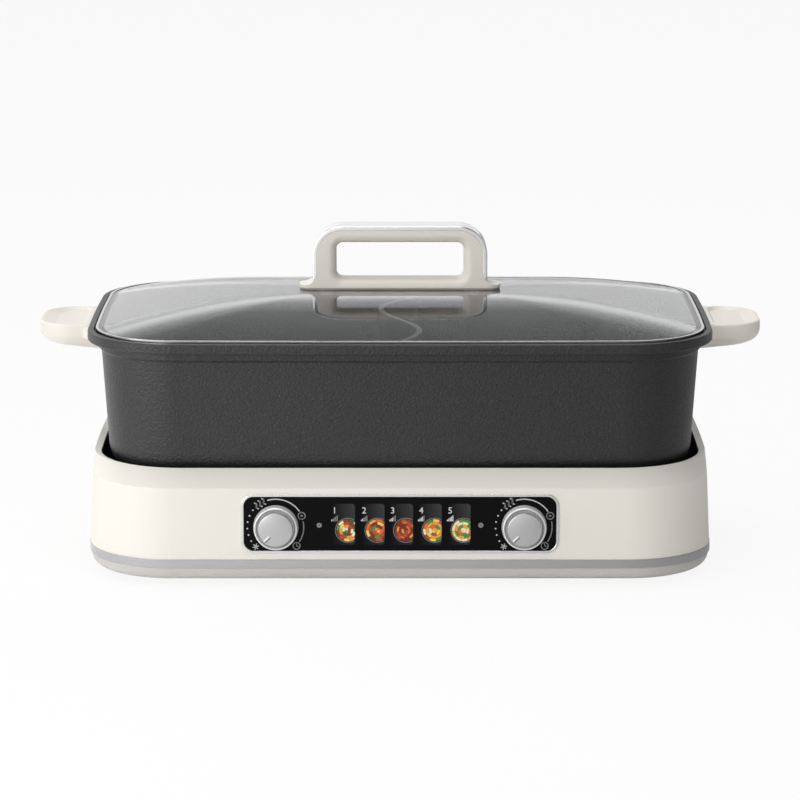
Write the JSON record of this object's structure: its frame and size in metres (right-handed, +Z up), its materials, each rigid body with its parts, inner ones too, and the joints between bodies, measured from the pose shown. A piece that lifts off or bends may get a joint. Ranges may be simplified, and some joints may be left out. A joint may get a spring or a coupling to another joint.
{
  "type": "electric hot pot",
  "caption": "Countertop electric hot pot: heated base with dials, a lift-off divided rectangular pot and a lift-off domed glass lid with a loop handle.",
  "frame": {"origin": "at table level, below the middle of the base and pot", "axes": "+X to the user's right along the long side, -Y towards the user and the dials, +Z up"},
  "size_m": [0.5378, 0.2918, 0.2438],
  "materials": {
    "cream_plastic": "satin moulded plastic, warm cream",
    "tray_plastic": "satin moulded plastic, light grey",
    "trim_steel": "polished bright band",
    "foot_rubber": "soft light-grey rubber",
    "zinc_screws": "zinc-plated steel",
    "liner_enamel": "dark heat-proof paint on pressed steel",
    "plate_alloy": "cast and skimmed aluminium",
    "tube_steel": "drawn steel tube",
    "limiter_steel": "pressed steel can",
    "shield_sheet": "bright rolled sheet",
    "bezel_chrome": "polished plating",
    "lens_black": "gloss black acrylic with white print",
    "lamp_plastic": "translucent grey",
    "board_laminate": "green circuit board",
    "control_plastic": "black moulded plastic",
    "relay_plastic": "blue moulded case",
    "inlet_plastic": "black moulded plastic",
    "pin_brass": "bright plated brass",
    "dial_alloy": "spun satin aluminium",
    "spindle_steel": "turned steel",
    "pot_alloy": "cast aluminium with dark sand-textured non-stick coating",
    "handle_plastic": "satin moulded heat-proof plastic, cream",
    "lid_glass": "clear tempered glass",
    "rim_steel": "rolled stainless steel",
    "band_chrome": "polished plating",
    "seal_rubber": "soft silicone rubber"
  },
  "bodies": {
    "base": {"base_shell": "cream_plastic", "base_tray": "tray_plastic", "trim_ring": "trim_steel", "foot_pads": "foot_rubber", "base_screws": "zinc_screws", "well_liner": "liner_enamel", "heating_plate_left": "plate_alloy", "heating_plate_right": "plate_alloy", "heating_tube_left": "tube_steel", "heating_tube_right": "tube_steel", "heat_limiter_left": "limiter_steel", "heat_limiter_right": "limiter_steel", "plate_screws": "zinc_screws", "heat_shield": "shield_sheet", "panel_bezel": "bezel_chrome", "panel_lens": "lens_black", "indicator_left": "lamp_plastic", "indicator_right": "lamp_plastic", "status_lamps": "lamp_plastic", "control_board": "board_laminate", "board_screws": "zinc_screws", "rotary_control_left": "control_plastic", "rotary_control_right": "control_plastic", "power_board": "board_laminate", "relays": "relay_plastic", "terminal_block": "control_plastic", "power_inlet": "inlet_plastic", "inlet_pins": "pin_brass", "inlet_screws": "zinc_screws"},
    "dial_left": {"dial_skirt_left": "dial_alloy", "dial_cap_left": "dial_alloy", "dial_spindle_left": "spindle_steel"},
    "dial_right": {"dial_skirt_right": "dial_alloy", "dial_cap_right": "dial_alloy", "dial_spindle_right": "spindle_steel"},
    "pot": {"pot": "pot_alloy", "pot_handle_left": "handle_plastic", "pot_handle_right": "handle_plastic", "pot_handle_screws": "zinc_screws"},
    "lid": {"lid_glass": "lid_glass", "lid_rim": "rim_steel", "steam_vents": "rim_steel", "lid_handle": "handle_plastic", "lid_handle_band": "band_chrome", "handle_gasket": "seal_rubber", "lid_washers": "seal_rubber", "lid_screws": "zinc_screws"}
  },
  "joints": [
    {"name": "pot_lift", "type": "slide", "parent": "base", "child": "pot", "axis": [0, 0, 1], "range_m": [0, 0.15]},
    {"name": "lid_lift", "type": "slide", "parent": "pot", "child": "lid", "axis": [0, 0, 1], "range_m": [0, 0.12]},
    {"name": "dial_left_turn", "type": "hinge", "parent": "base", "child": "dial_left", "pos_m": [-0.0894, -0.1372, 0.0451], "axis": [0, 1, 0], "range_deg": [0, 275]},
    {"name": "dial_right_turn", "type": "hinge", "parent": "base", "child": "dial_right", "pos_m": [0.0894, -0.1372, 0.0451], "axis": [0, 1, 0], "range_deg": [0, 275]}
  ]
}
